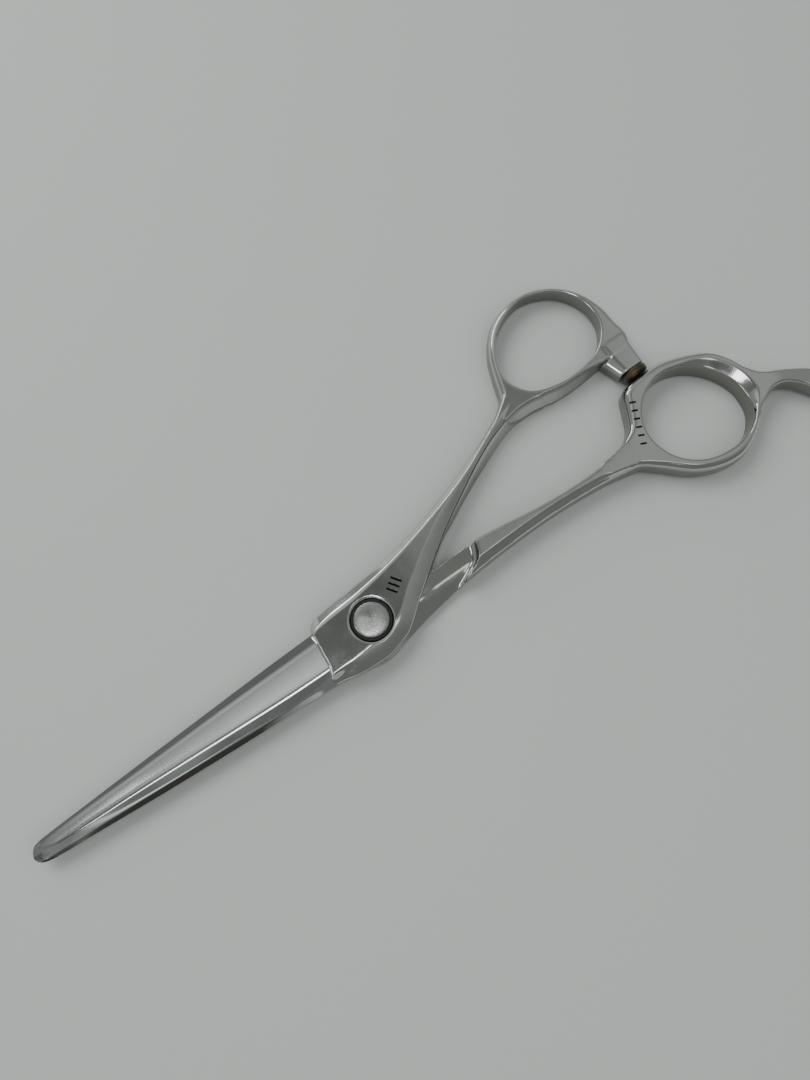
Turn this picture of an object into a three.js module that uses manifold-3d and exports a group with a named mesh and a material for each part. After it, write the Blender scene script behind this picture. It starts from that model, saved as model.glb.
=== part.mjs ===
// Hairdresser's thinning shears, closed and lying on a flat surface.
// Millimetres. The origin is on the pivot axis at the level the shears rest on.
// +X runs to the blade tips, +Y towards the finger ring's side, +Z is up.
// The finger half (toothed blade) lies below, the thumb half (plain blade) lies on it,
// and both halves turn on the pivot screw.
import * as THREE from "three";
import { mergeVertices } from "three/addons/utils/BufferGeometryUtils.js";
import Module from "manifold-3d";

const wasm = await Module();
wasm.setup();

// ---- driving dimensions ----
const TIP_X = 71.0;            // pivot axis to blade tip
const HEEL_X = 10.6;           // where the thumb half's pivot block steps down to the blade
const RIDE_Z = 3.0;            // the plane in which the two halves slide on each other
const RIDE_GAP = 0.05;         // half of the running gap between the halves
const LOWER_Z = 0.5;           // underside of the finger half at the pivot
const BLOCK_Z = 5.6;           // top of the thumb half's pivot block
const FINGER_RING_Z = 5.7;     // height of the finger ring
const THUMB_RING_Z = 4.6;      // height of the thumb ring
const SHANK_BOTTOM_Z = 0.4;    // underside of both shanks
const EDGE_LAND = 0.12;        // thickness left at a cutting edge

const TEETH = 28;
const FIRST_TOOTH_X = 23.4;
const TOOTH_PITCH = 1.6;
const TOOTH_WIDTH = 0.86;
const TOOTH_NOTCH = 0.3;       // depth of the V in each tooth's tip

const HEAD_R = 3.25;           // pivot screw's head
const SHOULDER_R = 1.8;        // the plain part that the bush turns on
const THREAD_R = 1.45;
const BUSH_R = 2.6;
const CUP_R = 3.82;            // washer that the head sits in
const NUT_R = 3.4;
const RUN = 0.05;              // radial running clearance
const SEAT = 0.08;             // gap between parts that rest on each other

const COUNTERBORE_Z = 3.9;     // floor of the thumb half's counterbore
const HEAD_Z = 4.6;            // underside of the screw head
const HEAD_EDGE_Z = 5.55;
const HEAD_TOP_Z = 6.05;
const BUSH_BOTTOM_Z = 2.4;     // floor of the finger half's bush seat
const NUT_Z = 1.3;             // thickness of the back nut
const SCREW_END_Z = 0.55;

const PAD_X = -70.4;           // bumper axis, which runs along Y
const PAD_Z = 2.85;
const PAD_R = 2.7;
const PAD_END_Y = -9.5;        // face that meets the finger ring
const BOSS_END_Y = -11.2;      // face that the bumper sits on
const BOSS_R = 3.0;
const BOSS_Z = 2.3;
const BOSS_SWELL = 0.07;       // growth in radius per millimetre towards the ring
const BOSS_LENGTH = 7;
const BOSS_TOP_Z = 4.75;
const STUD_R = 0.9;

const SEG = 40;                // facets round a turned part

// ---- materials ----
const finish = (color, roughness, metalness) =>
  new THREE.MeshStandardMaterial({ color, roughness, metalness });
const STEEL = () => finish(0x9a9c98, 0.28, 1.0);
const BLADE_STEEL = () => finish(0xa7aaa6, 0.22, 1.0);
const SCREW_STEEL = () => finish(0xb4b6b2, 0.35, 1.0);
const BLACK_NYLON = () => finish(0x101010, 0.6, 0.0);
const BRONZE = () => finish(0x9c7a3c, 0.4, 1.0);
const BRASS = () => finish(0xb59a55, 0.35, 1.0);
const AMBER_RUBBER = () => finish(0x2a210c, 0.5, 0.0);

// ---- solids ----
// Turns a closed three.js geometry into a solid for joining and cutting.
function solid(geometry) {
  geometry.deleteAttribute("normal");
  geometry.deleteAttribute("uv");
  const merged = mergeVertices(geometry, 1e-4);
  const mesh = new wasm.Mesh({
    numProp: 3,
    vertProperties: new Float32Array(merged.attributes.position.array),
    triVerts: new Uint32Array(merged.index.array),
  });
  return new wasm.Manifold(mesh);
}

function piece(name, body, material) {
  const out = body.getMesh();
  const geometry = new THREE.BufferGeometry();
  geometry.setAttribute("position", new THREE.BufferAttribute(out.vertProperties, 3));
  geometry.setIndex(new THREE.BufferAttribute(out.triVerts, 1));
  geometry.computeVertexNormals();
  const mesh = new THREE.Mesh(geometry, material);
  mesh.name = name;
  return mesh;
}

// Upright plate over a plan outline, with an optional bevel all round top and bottom.
function plate(shape, bottom, top, bevelRise = 0, bevelRun = 0) {
  const geometry = new THREE.ExtrudeGeometry(shape, {
    depth: top - bottom - 2 * bevelRise,
    steps: 1,
    curveSegments: 5,
    bevelEnabled: bevelRise > 0,
    bevelThickness: bevelRise,
    bevelSize: bevelRun,
    bevelOffset: -bevelRun,
    bevelSegments: 2,
  });
  geometry.translate(0, 0, bottom + bevelRise);
  return solid(geometry);
}

// Solid turned about +Z from [radius, z] points that start and end on the axis.
function turned(points) {
  const profile = points.map(([r, z]) => new THREE.Vector2(r, z));
  const geometry = new THREE.LatheGeometry(profile, SEG);
  geometry.rotateX(Math.PI / 2);
  return solid(geometry);
}

// Ring turned about +Z from a closed [radius, z] outline.
function turnedRing(points) {
  return turned([...points, points[0]]);
}

function disc(radius, bottom, top, x = 0, y = 0) {
  const geometry = new THREE.CylinderGeometry(radius, radius, top - bottom, SEG);
  geometry.rotateX(Math.PI / 2);
  geometry.translate(x, y, (bottom + top) / 2);
  return solid(geometry);
}

// Smooth value along X through hand-set points, in order of rising x.
function along(points) {
  const slope = (i) => {
    const a = points[Math.max(i - 1, 0)];
    const b = points[Math.min(i + 1, points.length - 1)];
    return (b[1] - a[1]) / (b[0] - a[0]);
  };
  return (x) => {
    let i = 0;
    while (i < points.length - 2 && x > points[i + 1][0]) i += 1;
    const [x0, v0] = points[i];
    const [x1, v1] = points[i + 1];
    const t = THREE.MathUtils.clamp((x - x0) / (x1 - x0), 0, 1);
    const h = x1 - x0;
    const s = t * t * (3 - 2 * t);
    const ease = t * (1 - t) * h;
    return v0 + (v1 - v0) * s + ease * ((1 - t) * slope(i) - t * slope(i + 1));
  };
}

function stations(from, to, count) {
  return Array.from({ length: count + 1 }, (_, i) => from + ((to - from) * i) / count);
}

// Body lofted along X: section(x) gives a convex ring of [y, z] points, the same number each.
function loft(xs, section) {
  const rings = xs.map((x) => section(x).map(([y, z]) => [x, y, z]));
  const n = rings[0].length;
  const index = [];
  for (let i = 0; i < rings.length - 1; i += 1) {
    for (let j = 0; j < n; j += 1) {
      const a = i * n + j;
      const b = i * n + ((j + 1) % n);
      index.push(a, a + n, b, b, a + n, b + n);
    }
  }
  const last = (rings.length - 1) * n;
  for (let j = 1; j < n - 1; j += 1) {
    index.push(0, j, j + 1, last, last + j + 1, last + j);
  }
  const geometry = new THREE.BufferGeometry();
  geometry.setAttribute("position", new THREE.Float32BufferAttribute(rings.flat(2), 3));
  geometry.setIndex(index);
  return solid(geometry);
}

// Closed smooth curve with no kink anywhere, as a plan outline.
function loop(points, count) {
  const curve = new THREE.CatmullRomCurve3(
    points.map(([x, y]) => new THREE.Vector3(x, y, 0)), true, "centripetal");
  return new THREE.Shape(curve.getPoints(count).slice(0, -1).map((p) => new THREE.Vector2(p.x, p.y)));
}

// ---- plan lines, each [x, y] in order of rising x ----
const thumbLow = along([[-46, -21.2], [-40.5, -18], [-30.4, -13.9], [-20.3, -10.6],
  [-10.2, -8.3], [0, -7.1], [7, -6.5], [9.6, -5.2], [HEEL_X, -4.1]]);
const thumbChamfer = along([[-46, -20.9], [-42, -18.3], [-38, -16.2], [-30, -12.5],
  [-20, -9.4], [-10, -6.9], [0, -5.2], [9, -4.4], [HEEL_X, -3.6]]);
const thumbFlat = along([[-46, -19.4], [-28, -11.6], [-20, -8.1], [-10, -1.9],
  [-4, 2.3], [4.2, 3.8], [HEEL_X, 4.2]]);
const thumbHigh = along([[-46, -16.9], [-40, -15.4], [-30, -10.8], [-20, -5.3], [-10, 1.5],
  [-5, 5.3], [-2.1, 6.4], [1, 7.1], [4.2, 7.05], [7.3, 6.75], [HEEL_X, 6.0]]);
const thumbFoot = along([[-46, -15.95], [-40, -14.4], [-33.5, -11.6], [-27.8, -8.8],
  [-23, -6.2], [-20, -4.8], [-10, 1.5]]);
const bladeEdge = along([[8, -4.45], [20, -4.15], [40, -3.4], [60, -2.55], [68.2, -2.15],
  [69.5, -1.95], [70.2, -1.6], [70.8, -0.85], [TIP_X, -0.3]]);
const bladeRidge = along([[8, 3.0], [20, 2.6], [30, 2.15], [40, 1.5], [50, 0.95], [60, 0.6],
  [66, 0.4], [TIP_X, 0.05]]);
const bladeShoulder = along([[8, 4.35], [14, 4.65], [20, 4.65], [25, 4.3], [30, 3.9], [40, 3.3],
  [60, 1.8], [68, 1.2], [70, 0.8], [TIP_X, 0.15]]);
const bladeSpine = along([[8, 6.6], [10.2, 6.1], [15, 5.65], [20, 5.4], [30, 4.85], [40, 4.2],
  [50, 3.45], [60, 2.6], [66, 2.15], [69, 1.75], [70, 1.4], [70.6, 0.95], [TIP_X, 0.3]]);
const fingerLow = along([[-57, 0.7], [-50, 1.3], [-40, 0.9], [-30, -0.3], [-23.8, -0.9],
  [-14.5, -1.9], [-8, -3.9], [1, -6.0], [9, -4.9], [13, -3.7]]);
const fingerHigh = along([[-57, 5.2], [-50, 4.1], [-40, 3.4], [-30, 3.4], [-20, 3.9],
  [-10, 5.2], [-3, 6.6], [1, 7.5], [5, 6.9], [13, 5.5]]);
const fingerCrease = along([[-57, 4.2], [-50, 2.8], [-40, 2.0], [-30, 1.9], [-20, 2.1], [-12, 2.1]]);
const toothRoot = along([[20, 0.2], [40, 0.0], [68, -0.3]]);

// ---- heights along X ----
const thumbBottom = along([[-46, SHANK_BOTTOM_Z], [-34, SHANK_BOTTOM_Z + 0.6],
  [-20, RIDE_Z - 0.4], [-17, RIDE_Z + RIDE_GAP], [-12, RIDE_Z + RIDE_GAP],
  [HEEL_X, RIDE_Z + RIDE_GAP]]);
const thumbTop = along([[-46, THUMB_RING_Z + 0.2], [-30, BLOCK_Z - 0.2], [-14, BLOCK_Z],
  [HEEL_X, BLOCK_Z]]);
const ridgeZ = along([[8, 5.0], [40, 4.55], [66, 4.0], [TIP_X, 3.6]]);
const lowerBack = along([[8, LOWER_Z], [40, 1.0], [66, 1.6], [TIP_X, 2.2]]);

// ---- thumb half: plain blade, pivot block, shank, ring and bumper boss ----
function plainBlade() {
  const z0 = RIDE_Z + RIDE_GAP;
  const xs = [...stations(HEEL_X - 2, 67, 14), 68.2, 69.2, 69.9, 70.4, 70.8, TIP_X];
  return loft(xs, (x) => {
    const edge = bladeEdge(x);
    const spine = bladeSpine(x);
    const ridge = bladeRidge(x);
    const band = edge + 0.45 * (ridge - edge);
    return [[edge, z0], [edge, z0 + EDGE_LAND], [band, z0 + 0.55 * (ridgeZ(x) - z0)],
      [ridge, ridgeZ(x)], [bladeShoulder(x), ridgeZ(x) - 0.45], [spine, z0 + 0.25], [spine, z0]];
  });
}

function thumbShank() {
  const xs = [...stations(-46, -20, 8), ...stations(-17, 7, 10), 8.2, 9.2, 10, HEEL_X];
  return loft(xs, (x) => {
    const top = thumbTop(x);
    const flat = Math.max(thumbFlat(x), thumbChamfer(x) + 0.1);
    const high = Math.max(thumbHigh(x), flat + 0.1);
    const foot = x < -10 ? thumbFoot(x) : high;
    const bottom = thumbBottom(x);
    return [[thumbLow(x), bottom], [thumbLow(x), top - 1.3], [thumbChamfer(x), top],
      [flat, top], [high, top - 1.2], [foot, bottom + 0.6], [foot, bottom]];
  });
}

function thumbHandHole() {
  const hole = loop([[-71.3, -25.8], [-70.3, -21.8], [-67.2, -18.6], [-61.5, -16.9],
    [-55.5, -17.2], [-50.8, -19.1], [-48.3, -23.8], [-49.8, -28.9], [-54, -33.2], [-60.8, -35.6],
    [-66.9, -33.7], [-70.2, -30.2]], 60);
  return plate(hole, -1, THUMB_RING_Z + 2);
}

function thumbRing() {
  const rim = loop([[-45.2, -20.9], [-46.8, -25.5], [-49, -30.3], [-52.6, -34.4], [-57.2, -36.5],
    [-62.8, -36.8], [-68, -34.6], [-71.8, -30.6], [-73.7, -25.5], [-73.9, -20.5], [-73.3, -15.8],
    [-66, -15.4], [-59.6, -15], [-54.7, -15.1], [-50.4, -16.1], [-45, -15.8]], 80);
  return plate(rim, 0, THUMB_RING_Z, 0.9, 0.5);
}

// The boss is a cone that swells into the ring, ground flat on top and level underneath.
function bumperBoss() {
  const swollen = BOSS_R + BOSS_SWELL * BOSS_LENGTH;
  const boss = new THREE.CylinderGeometry(BOSS_R, swollen, BOSS_LENGTH, 28);
  boss.translate(PAD_X + 0.15, BOSS_END_Y - BOSS_LENGTH / 2, BOSS_Z);
  const slab = new THREE.BoxGeometry(20, 20, BOSS_TOP_Z - 0.1);
  slab.translate(PAD_X, BOSS_END_Y, (BOSS_TOP_Z + 0.1) / 2);
  const hole = new THREE.CylinderGeometry(STUD_R + RUN, STUD_R + RUN, 4, 24);
  hole.translate(PAD_X, BOSS_END_Y - 1, PAD_Z);
  return [solid(boss).intersect(solid(slab)), solid(hole)];
}

function thumbHalf() {
  const [boss, studHole] = bumperBoss();
  const counterbore = turned([[0, COUNTERBORE_Z], [CUP_R + RUN, COUNTERBORE_Z],
    [CUP_R + RUN, BLOCK_Z - 0.3], [CUP_R + 0.6, BLOCK_Z + 0.1], [0, BLOCK_Z + 0.1]]);
  return plainBlade()
    .add(thumbShank())
    .add(thumbRing())
    .add(boss)
    .subtract(thumbHandHole())
    .subtract(studHole)
    .subtract(counterbore)
    .subtract(disc(BUSH_R + RUN, RIDE_Z - 1, BLOCK_Z));
}

// ---- finger half: toothed blade, pivot body, shank, ring and finger rest ----
function toothSlot(i) {
  const x = FIRST_TOOTH_X + TOOTH_PITCH * i;
  const half = (TOOTH_PITCH - TOOTH_WIDTH) / 2;
  const mid = x + TOOTH_PITCH / 2;
  const root = toothRoot(mid);
  const slot = new THREE.Shape();
  slot.moveTo(mid - half, 8);
  slot.lineTo(mid - half, root + half);
  slot.absarc(mid, root + half, half, Math.PI, 2 * Math.PI, false);
  slot.lineTo(mid + half, 8);
  return plate(slot, -1, RIDE_Z + 1);
}

function toothNotch(i) {
  const x = FIRST_TOOTH_X + TOOTH_PITCH * i;
  const tip = bladeSpine(x) - 0.45;
  const notch = new THREE.Shape();
  notch.moveTo(x - 0.25, tip + 0.1);
  notch.lineTo(x, tip - TOOTH_NOTCH);
  notch.lineTo(x + 0.25, tip + 0.1);
  return plate(notch, -1, RIDE_Z + 1);
}

function toothedBlade() {
  const top = RIDE_Z - RIDE_GAP;
  const xs = [...stations(9, 67, 14), 68.2, 69.2, 69.9];
  const bar = loft(xs, (x) => {
    const low = Math.min(bladeEdge(x) + 0.45, bladeSpine(x) - 0.6);
    const heel = THREE.MathUtils.smoothstep(x, 17, 22);
    const high = (1 - heel) * fingerHigh(Math.min(x, 13)) + heel * (bladeSpine(x) - 0.45);
    return [[low, lowerBack(x) + 0.5], [low, top], [high, top], [high, top - 0.9],
      [(low + high) / 2, lowerBack(x)]];
  });
  const slots = stations(0, TEETH, TEETH).map(toothSlot);
  const notches = stations(1, TEETH, TEETH - 1).map(toothNotch);
  return [...slots, ...notches].reduce((body, cut) => body.subtract(cut), bar);
}

function fingerShank() {
  const xs = [...stations(-57, -26, 8), ...stations(-23, 13, 14)];
  return loft(xs, (x) => {
    const low = fingerLow(x);
    const high = fingerHigh(x);
    const top = FINGER_RING_Z - 0.1;
    const bottom = THREE.MathUtils.lerp(SHANK_BOTTOM_Z, LOWER_Z, THREE.MathUtils.smoothstep(x, -40, -10));
    const crease = Math.min(fingerCrease(Math.min(x, -12)), high - 0.4);
    return [[low + 0.6, bottom], [low, bottom + 0.8], [low, top - 0.4], [low + 0.3, top],
      [crease, top], [high, top - 1.5], [high, bottom + 0.8], [high - 0.6, bottom]];
  });
}

// Everything above the riding plane from the blade back to the curved step in the shank.
function rideClearance() {
  const area = new THREE.Shape();
  area.moveTo(-23.8, -8);
  area.lineTo(-23.8, -1);
  area.splineThru([[-23.5, 0.4], [-22.3, 2], [-20.4, 3.2], [-17.6, 4.6]]
    .map(([x, y]) => new THREE.Vector2(x, y)));
  area.lineTo(-14, 12);
  area.lineTo(20, 12);
  area.lineTo(20, -8);
  return plate(area, RIDE_Z - RIDE_GAP, BLOCK_Z + 2);
}

function fingerRing() {
  const rim = loop([[-55, 4.6], [-58.4, 5.9], [-61.4, 8.1], [-66.3, 12.5], [-71.4, 14.8],
    [-76.5, 15.1], [-81.6, 12.9], [-85.4, 10], [-88.6, 8.1], [-91.4, 8.2], [-93.8, 9.8],
    [-95.9, 12.6], [-98.2, 16.6], [-100.6, 19.3], [-102.8, 19.6], [-103.6, 17.6], [-101.9, 13],
    [-98.3, 9.1], [-94, 6.4], [-89.6, 3.7], [-87.2, -0.3], [-84.6, -5.1], [-80.6, -7.7],
    [-74.6, -9.2], [-68.4, -9.1], [-65, -8.2], [-63.2, -5.2], [-61.2, -1.7], [-58.6, 0],
    [-55, 1.1]], 130);
  const hole = loop([[-63.4, 2.6], [-64.5, -1.5], [-67.6, -5], [-72.4, -6.75], [-77.6, -5.7],
    [-82, -2.1], [-84.35, 3], [-83.7, 8.4], [-80.2, 11.9], [-74.6, 12.8], [-68.9, 11.4],
    [-64.9, 7.7]], 60);
  return plate(rim, 0, FINGER_RING_Z, 1.3, 0.9).subtract(plate(hole, -1, FINGER_RING_Z + 1));
}

// The finger rest thins towards its tip, above and below.
function restTaper(sign) {
  const level = FINGER_RING_Z / 2;
  const shape = new THREE.Shape();
  shape.moveTo(-92, level + sign * FINGER_RING_Z / 2);
  shape.lineTo(-106, level + sign * 1.7);
  shape.lineTo(-106, level + sign * 6);
  shape.lineTo(-92, level + sign * 6);
  const geometry = new THREE.ExtrudeGeometry(shape, { depth: 40, bevelEnabled: false });
  geometry.rotateX(Math.PI / 2);
  geometry.translate(0, 30, 0);
  return solid(geometry);
}

function fingerHalf() {
  return toothedBlade()
    .add(fingerShank().subtract(rideClearance()))
    .add(fingerRing())
    .subtract(restTaper(1))
    .subtract(restTaper(-1))
    .subtract(disc(BUSH_R + RUN, BUSH_BOTTOM_Z, RIDE_Z + 1))
    .subtract(disc(THREAD_R + RUN, 0, RIDE_Z))
    .subtract(disc(NUT_R + RUN, -1, NUT_Z + SEAT));
}

// ---- pivot parts, from the top down ----
function pivotScrew() {
  return turned([[0, SCREW_END_Z], [THREAD_R - 0.25, SCREW_END_Z], [THREAD_R, SCREW_END_Z + 0.25],
    [THREAD_R, BUSH_BOTTOM_Z + SEAT], [SHOULDER_R, BUSH_BOTTOM_Z + SEAT], [SHOULDER_R, HEAD_Z],
    [HEAD_R, HEAD_Z], [HEAD_R, HEAD_EDGE_Z], [HEAD_R - 0.25, HEAD_EDGE_Z + 0.2],
    [HEAD_R * 0.6, HEAD_TOP_Z - 0.12], [HEAD_R * 0.3, HEAD_TOP_Z - 0.03], [0, HEAD_TOP_Z]]);
}

function cupWasher() {
  const floorZ = HEAD_Z - SEAT;
  return turnedRing([[SHOULDER_R + RUN, floorZ - 0.3], [CUP_R, floorZ - 0.3], [CUP_R, BLOCK_Z - 0.1],
    [HEAD_R + RUN, BLOCK_Z - 0.1], [HEAD_R + RUN, floorZ], [SHOULDER_R + RUN, floorZ]]);
}

function springWasher() {
  const low = COUNTERBORE_Z + SEAT / 2;
  return turnedRing([[SHOULDER_R + 0.1, low + 0.1], [CUP_R - 0.15, low], [CUP_R - 0.15, low + 0.12],
    [SHOULDER_R + 0.1, low + 0.22]]);
}

function pivotBush() {
  return turnedRing([[SHOULDER_R + RUN, BUSH_BOTTOM_Z + SEAT], [BUSH_R, BUSH_BOTTOM_Z + SEAT],
    [BUSH_R, COUNTERBORE_Z - SEAT], [SHOULDER_R + RUN, COUNTERBORE_Z - SEAT]]);
}

function backNut() {
  const body = turned([[0, 0], [NUT_R - 0.2, 0], [NUT_R, 0.2], [NUT_R, NUT_Z], [THREAD_R + RUN, NUT_Z],
    [THREAD_R + RUN, SCREW_END_Z - 0.15], [0, SCREW_END_Z - 0.15]]);
  return body.subtract(disc(0.45, -1, 0.6, 2.35, 0)).subtract(disc(0.45, -1, 0.6, -2.35, 0));
}

// ---- bumper, turned about Y ----
function turnedAboutY(points, x, z) {
  const profile = points.map(([r, y]) => new THREE.Vector2(r, y));
  const geometry = new THREE.LatheGeometry(profile, 28);
  geometry.translate(x, 0, z);
  return solid(geometry);
}

function bumperPad() {
  const back = BOSS_END_Y + SEAT;
  return turnedAboutY([[0, back + 1.1], [STUD_R + RUN, back + 1.1], [STUD_R + RUN, back],
    [PAD_R * 0.92, back], [PAD_R, back + 0.4], [PAD_R, PAD_END_Y - 0.6], [PAD_R * 0.8, PAD_END_Y],
    [0, PAD_END_Y]], PAD_X, PAD_Z);
}

function bumperStud() {
  return turnedAboutY([[0, BOSS_END_Y - 2.8], [STUD_R, BOSS_END_Y - 2.8], [STUD_R, BOSS_END_Y + 1.05],
    [0, BOSS_END_Y + 1.05]], PAD_X, PAD_Z);
}

// ---- assembly ----
const group = new THREE.Group();
group.add(
  piece("finger_half", fingerHalf(), STEEL()),
  piece("thumb_half", thumbHalf(), BLADE_STEEL()),
  piece("pivot_screw", pivotScrew(), SCREW_STEEL()),
  piece("cup_washer", cupWasher(), BLACK_NYLON()),
  piece("spring_washer", springWasher(), SCREW_STEEL()),
  piece("pivot_bush", pivotBush(), BRONZE()),
  piece("back_nut", backNut(), SCREW_STEEL()),
  piece("bumper_pad", bumperPad(), AMBER_RUBBER()),
  piece("bumper_stud", bumperStud(), BRASS()),
);

export default group;
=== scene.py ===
"""Looks of the thinning shears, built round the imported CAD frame.

Lengths are in millimetres, and make_mesh scales them to metres. Lights are placed in metres.
Both forged halves are carved as smooth distance fields, so that rounded rings, polished steps
and chamfers flow into each other. The plain blade is a lofted surface with a hollow grind.
"""

import math

import bpy
import numpy as np
from mathutils import Matrix, Vector


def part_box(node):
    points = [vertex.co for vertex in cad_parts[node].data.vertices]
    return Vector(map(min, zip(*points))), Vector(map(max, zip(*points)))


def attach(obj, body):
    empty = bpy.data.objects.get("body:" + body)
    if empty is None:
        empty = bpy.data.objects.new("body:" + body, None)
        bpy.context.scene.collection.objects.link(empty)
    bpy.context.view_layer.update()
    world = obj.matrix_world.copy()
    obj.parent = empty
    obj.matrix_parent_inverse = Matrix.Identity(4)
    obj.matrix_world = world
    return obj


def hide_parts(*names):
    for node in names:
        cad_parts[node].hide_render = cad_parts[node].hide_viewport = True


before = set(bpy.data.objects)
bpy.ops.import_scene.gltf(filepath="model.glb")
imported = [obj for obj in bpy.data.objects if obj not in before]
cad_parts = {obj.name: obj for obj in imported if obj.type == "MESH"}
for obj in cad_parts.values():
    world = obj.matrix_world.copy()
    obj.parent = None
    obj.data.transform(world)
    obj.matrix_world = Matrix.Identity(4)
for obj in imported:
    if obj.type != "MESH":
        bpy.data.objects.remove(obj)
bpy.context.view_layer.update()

MM = 0.001


def node_box(node):
    """Lowest and highest corner of a CAD node, in millimetres."""
    low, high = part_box(node)
    return np.array(low) / MM, np.array(high) / MM


# ---- sizes, taken from the frame where the frame has them ----
THUMB_HIGH = node_box("thumb_half")[1]
FINGER_HIGH = node_box("finger_half")[1]
SCREW_LOW, SCREW_HIGH = node_box("pivot_screw")
CUP_HIGH = node_box("cup_washer")[1]
PAD_LOW, PAD_HIGH = node_box("bumper_pad")
STUD_LOW = node_box("bumper_stud")[0]
NUT_HIGH = node_box("back_nut")[1]

# heights
FLOOR_Z = -0.02
FINGER_RING_Z = FINGER_HIGH[2]
THUMB_RING_Z = 4.6
BLOCK_Z = 5.6                        # top of the thumb half's pivot block
SHANK_BOTTOM_Z = 0.4
PIVOT_BOTTOM_Z = 0.5
RIDE_Z = 3.0                         # middle of the gap where the halves slide past each other
RIDE_GAP = 0.05                      # half of that gap
RIDE_TOP_Z = RIDE_Z - RIDE_GAP       # finger half's riding surface
BLADE_FLOOR_Z = RIDE_Z + RIDE_GAP    # thumb half's riding surface

# blades
TIP_X = THUMB_HIGH[0]
HEEL_X = 10.6              # front wall of the pivot block
HEEL_FILLET = 0.5
THUMB_END_X = 13.4         # where the carved bodies end, over the heels of their blades
FINGER_END_X = 13
EDGE_THICKNESS = 0.1
BAND_SLOPE = 0.01
HOLLOW_GRIND = 0.12        # depth of the hollow face, as a share of the ridge's rise
SHOULDER_DROP = 0.52       # fall from the ridge to the shoulder
SPINE_THICKNESS = 0.2
RIDGE_ROUND = 0.5
UNDER_HOLLOW = 0.12
HEEL_COVER = 0.02          # the block's root of the plain blade lies this far under its surface
TOOTH_HEEL_COVER = 0.04    # the toothed blade's heel lies this far inside the pivot body

SLOTS = 28                 # between teeth, so there is one tooth more
FIRST_TOOTH_X = 23.4
TOOTH_PITCH = 1.6
TOOTH_WIDTH = 0.86
TOOTH_NOTCH = 0.3          # depth of the V in each tooth's tip

# shanks, block edges and finger rest
CHAMFER_DROP = 1.3
CREASE_DROP = 1.2          # from the thumb shank's top to the crease in its outer wall
WALL_FOOT_Z = 1.2          # height down to which that wall leans out
WALL_X = (-66, -10)        # the part of the thumb half that has it
REST_TIP_HALF = 1.75       # half of the finger rest's height at its tip

# pivot
RUN = 0.05                 # clearance round what turns
HEAD_R = SCREW_HIGH[0]
HEAD_EDGE_Z = 5.55
SHOULDER_R = 1.8
THREAD_R = 1.45
CUP_R = CUP_HIGH[0]
CUP_FLOOR_Z = 4.52
CUP_FLOOR_THICKNESS = 0.3
COUNTERBORE_Z = 3.9
BUSH_R = 2.6
BUSH_BOTTOM_Z = 2.4
NUT_R = NUT_HIGH[0]
NUT_Z = NUT_HIGH[2]

# bumper and its stem
PAD_X = (PAD_LOW[0] + PAD_HIGH[0]) / 2
PAD_Z = (PAD_LOW[2] + PAD_HIGH[2]) / 2
PAD_R = (PAD_HIGH[0] - PAD_LOW[0]) / 2 - 0.1
STUD_R = 0.95
BOSS_END_Y = PAD_LOW[1] - 0.08
BOSS_LENGTH = 7
BOSS_TAPER_LENGTH = 6
BOSS_R = 3.0
BOSS_SWELL = 0.17
BOSS_X = PAD_X + 0.15
BOSS_Z = 2.3
BOSS_FLAT = 2.35           # from the pad's axis to the flat side
BOSS_TOP_Z = 4.75

BODY_STEP = 0.2   # voxel of the carved halves
TOOTH_STEP = 0.12


# ---- curves ----
def along(points):
    """Smooth value along X through given (x, value) points, in order of rising x."""
    xs = np.array([p[0] for p in points], float)
    vs = np.array([p[1] for p in points], float)
    ends = np.clip(np.arange(len(xs))[:, None] + [-1, 1], 0, len(xs) - 1)
    slopes = (vs[ends[:, 1]] - vs[ends[:, 0]]) / (xs[ends[:, 1]] - xs[ends[:, 0]])

    def value(x):
        x = np.asarray(x, float)
        i = np.clip(np.searchsorted(xs, x, side="right") - 1, 0, len(xs) - 2)
        h = xs[i + 1] - xs[i]
        t = np.clip((x - xs[i]) / h, 0, 1)
        smooth = t * t * (3 - 2 * t)
        bend = t * (1 - t) * h * ((1 - t) * slopes[i] - t * slopes[i + 1])
        return vs[i] + (vs[i + 1] - vs[i]) * smooth + bend

    return value


def loop(points, per_span=8):
    """Closed centripetal Catmull-Rom curve through given (x, y) points."""
    p = np.array(points, float)
    out = []
    for i in range(len(p)):
        a, b, c, d = (p[(i + k) % len(p)] for k in (-1, 0, 1, 2))
        t1 = np.linalg.norm(b - a) ** 0.5
        t2 = t1 + np.linalg.norm(c - b) ** 0.5
        t3 = t2 + np.linalg.norm(d - c) ** 0.5
        for t in np.linspace(t1, t2, per_span, endpoint=False):
            ab = a + (b - a) * t / t1
            bc = b + (c - b) * (t - t1) / (t2 - t1)
            cd = c + (d - c) * (t - t2) / (t3 - t2)
            abc = ab + (bc - ab) * t / t2
            bcd = bc + (cd - bc) * (t - t1) / (t3 - t1)
            out.append(abc + (bcd - abc) * (t - t1) / (t2 - t1))
    return np.array(out)


def smoothstep(x, a, b):
    t = np.clip((x - a) / (b - a), 0, 1)
    return t * t * (3 - 2 * t)


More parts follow.
